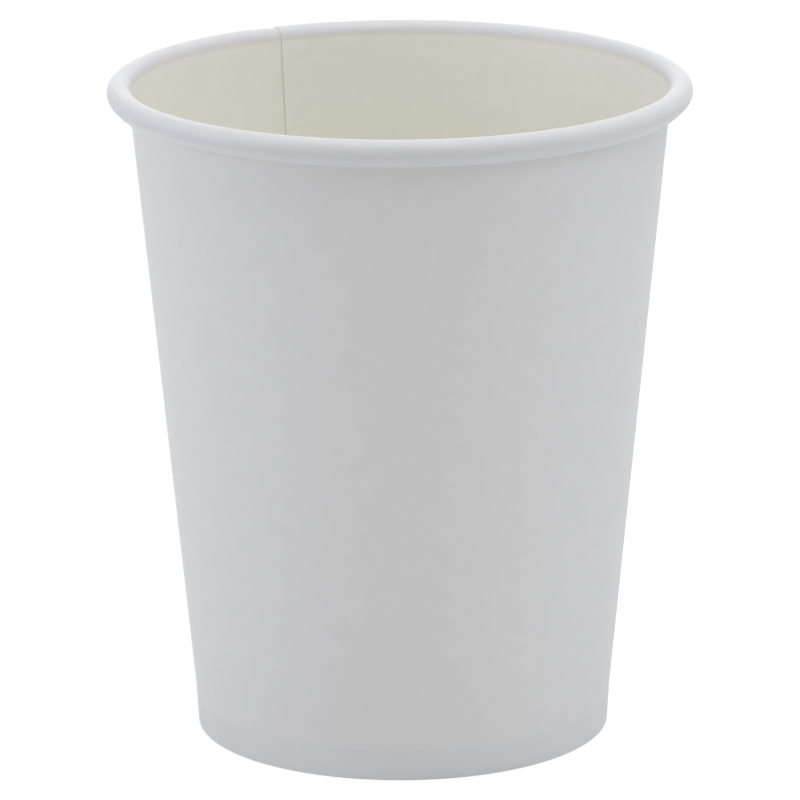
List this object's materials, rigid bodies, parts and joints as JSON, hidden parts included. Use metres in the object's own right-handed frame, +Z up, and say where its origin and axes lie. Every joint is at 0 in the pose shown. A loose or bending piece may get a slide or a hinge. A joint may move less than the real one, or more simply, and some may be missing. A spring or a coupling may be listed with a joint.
{
  "type": "paper coffee cup",
  "caption": "Plain single-wall paper cup for hot drinks, with a tapered wall, lapped side seam, outward rolled rim bead and raised bottom held in a folded hem.",
  "frame": {"origin": "middle of the foot ring, on the table", "axes": "+Z up along the cup's axis; the camera of the picture looks along +Y, and the side seam is at the back left"},
  "size_m": [0.08, 0.08, 0.0915],
  "materials": {
    "wall_board": "smooth white coated board, satin",
    "bottom_board": "smooth white coated board, satin"
  },
  "bodies": {
    "root": {"cup_wall": "wall_board", "cup_bottom": "bottom_board"}
  },
  "joints": []
}
